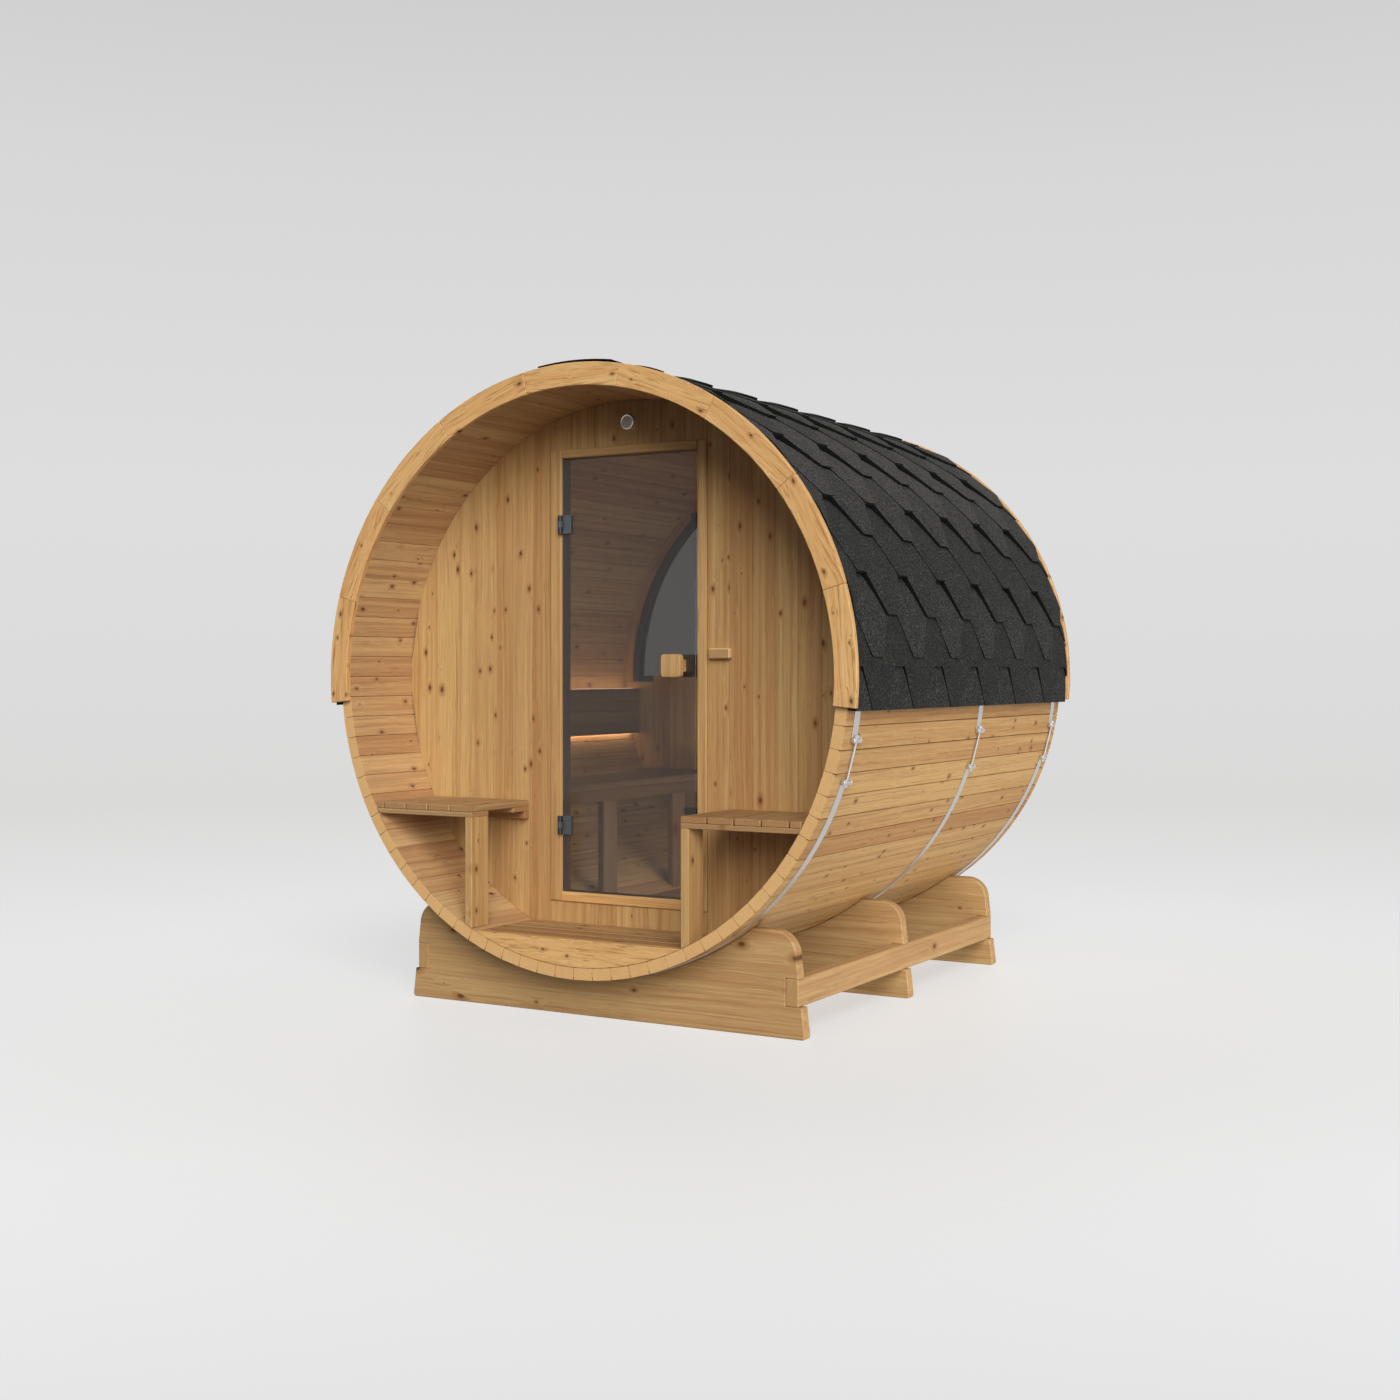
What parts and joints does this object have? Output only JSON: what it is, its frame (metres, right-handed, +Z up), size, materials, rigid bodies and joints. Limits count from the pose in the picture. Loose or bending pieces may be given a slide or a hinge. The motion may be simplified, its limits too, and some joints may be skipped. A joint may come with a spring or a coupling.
{
  "type": "barrel sauna",
  "caption": "Barrel sauna of horizontal staves on cradles, with a shingle roof, steel bands, an open porch with benches, a tinted glass door that swings and a half-moon rear window.",
  "frame": {"origin": "on the ground under the middle of the barrel", "axes": "+Z up, barrel axis along Y, porch and door face -Y, +X to the right as seen from the porch side"},
  "size_m": [2.1656, 2.106, 2.2796],
  "materials": {
    "stave_wood": "satin",
    "trim_wood": "satin",
    "shingle": "matte",
    "band_steel": "brushed",
    "cradle_wood": "satin",
    "wall_wood": "satin",
    "frame_wood": "satin",
    "hinge_metal": "satin",
    "catch_plastic": "matte",
    "lamp_glass": "satin",
    "knob_wood": "satin",
    "deck_wood": "satin",
    "bench_wood": "satin",
    "cabin_wood": "satin",
    "window_wood": "satin",
    "clear_glass": "gloss",
    "led_plastic": "gloss",
    "tinted_glass": "gloss"
  },
  "bodies": {
    "sauna": {"staves_bottom": "stave_wood", "staves_lower_right": "stave_wood", "staves_upper_right": "stave_wood", "staves_top": "stave_wood", "staves_upper_left": "stave_wood", "staves_lower_left": "stave_wood", "roof": "shingle", "front_trim": "trim_wood", "rear_trim": "trim_wood", "bands": "band_steel", "tensioners": "band_steel", "cradles": "cradle_wood", "runners": "cradle_wood", "wall_left": "wall_wood", "wall_right": "wall_wood", "wall_head": "wall_wood", "wall_base": "wall_wood", "frame_jambs": "frame_wood", "frame_head": "frame_wood", "frame_sill": "frame_wood", "hinge_plates": "hinge_metal", "door_catches": "catch_plastic", "wall_lamp": "lamp_glass", "wall_peg": "knob_wood", "porch_deck": "deck_wood", "deck_fascia": "deck_wood", "bench_seats": "bench_wood", "bench_bearers": "bench_wood", "bench_posts": "bench_wood", "bench_cleats": "bench_wood", "rear_wall": "wall_wood", "rear_arch": "wall_wood", "window_frame": "window_wood", "window_glass": "clear_glass", "inner_floor": "deck_wood", "inner_bench_seat": "cabin_wood", "inner_bench_frame": "cabin_wood", "inner_bench_legs": "cabin_wood", "backrest": "cabin_wood", "backrest_blocks": "cabin_wood", "led_strips": "led_plastic"},
    "door": {"door_glass": "tinted_glass", "door_knobs": "knob_wood", "hinge_leaves": "hinge_metal"}
  },
  "joints": [
    {"name": "door_hinge", "type": "hinge", "parent": "sauna", "child": "door", "pos_m": [-0.2865, -0.696, 1.197], "axis": [0, 0, -1], "range_deg": [0, 100]}
  ]
}
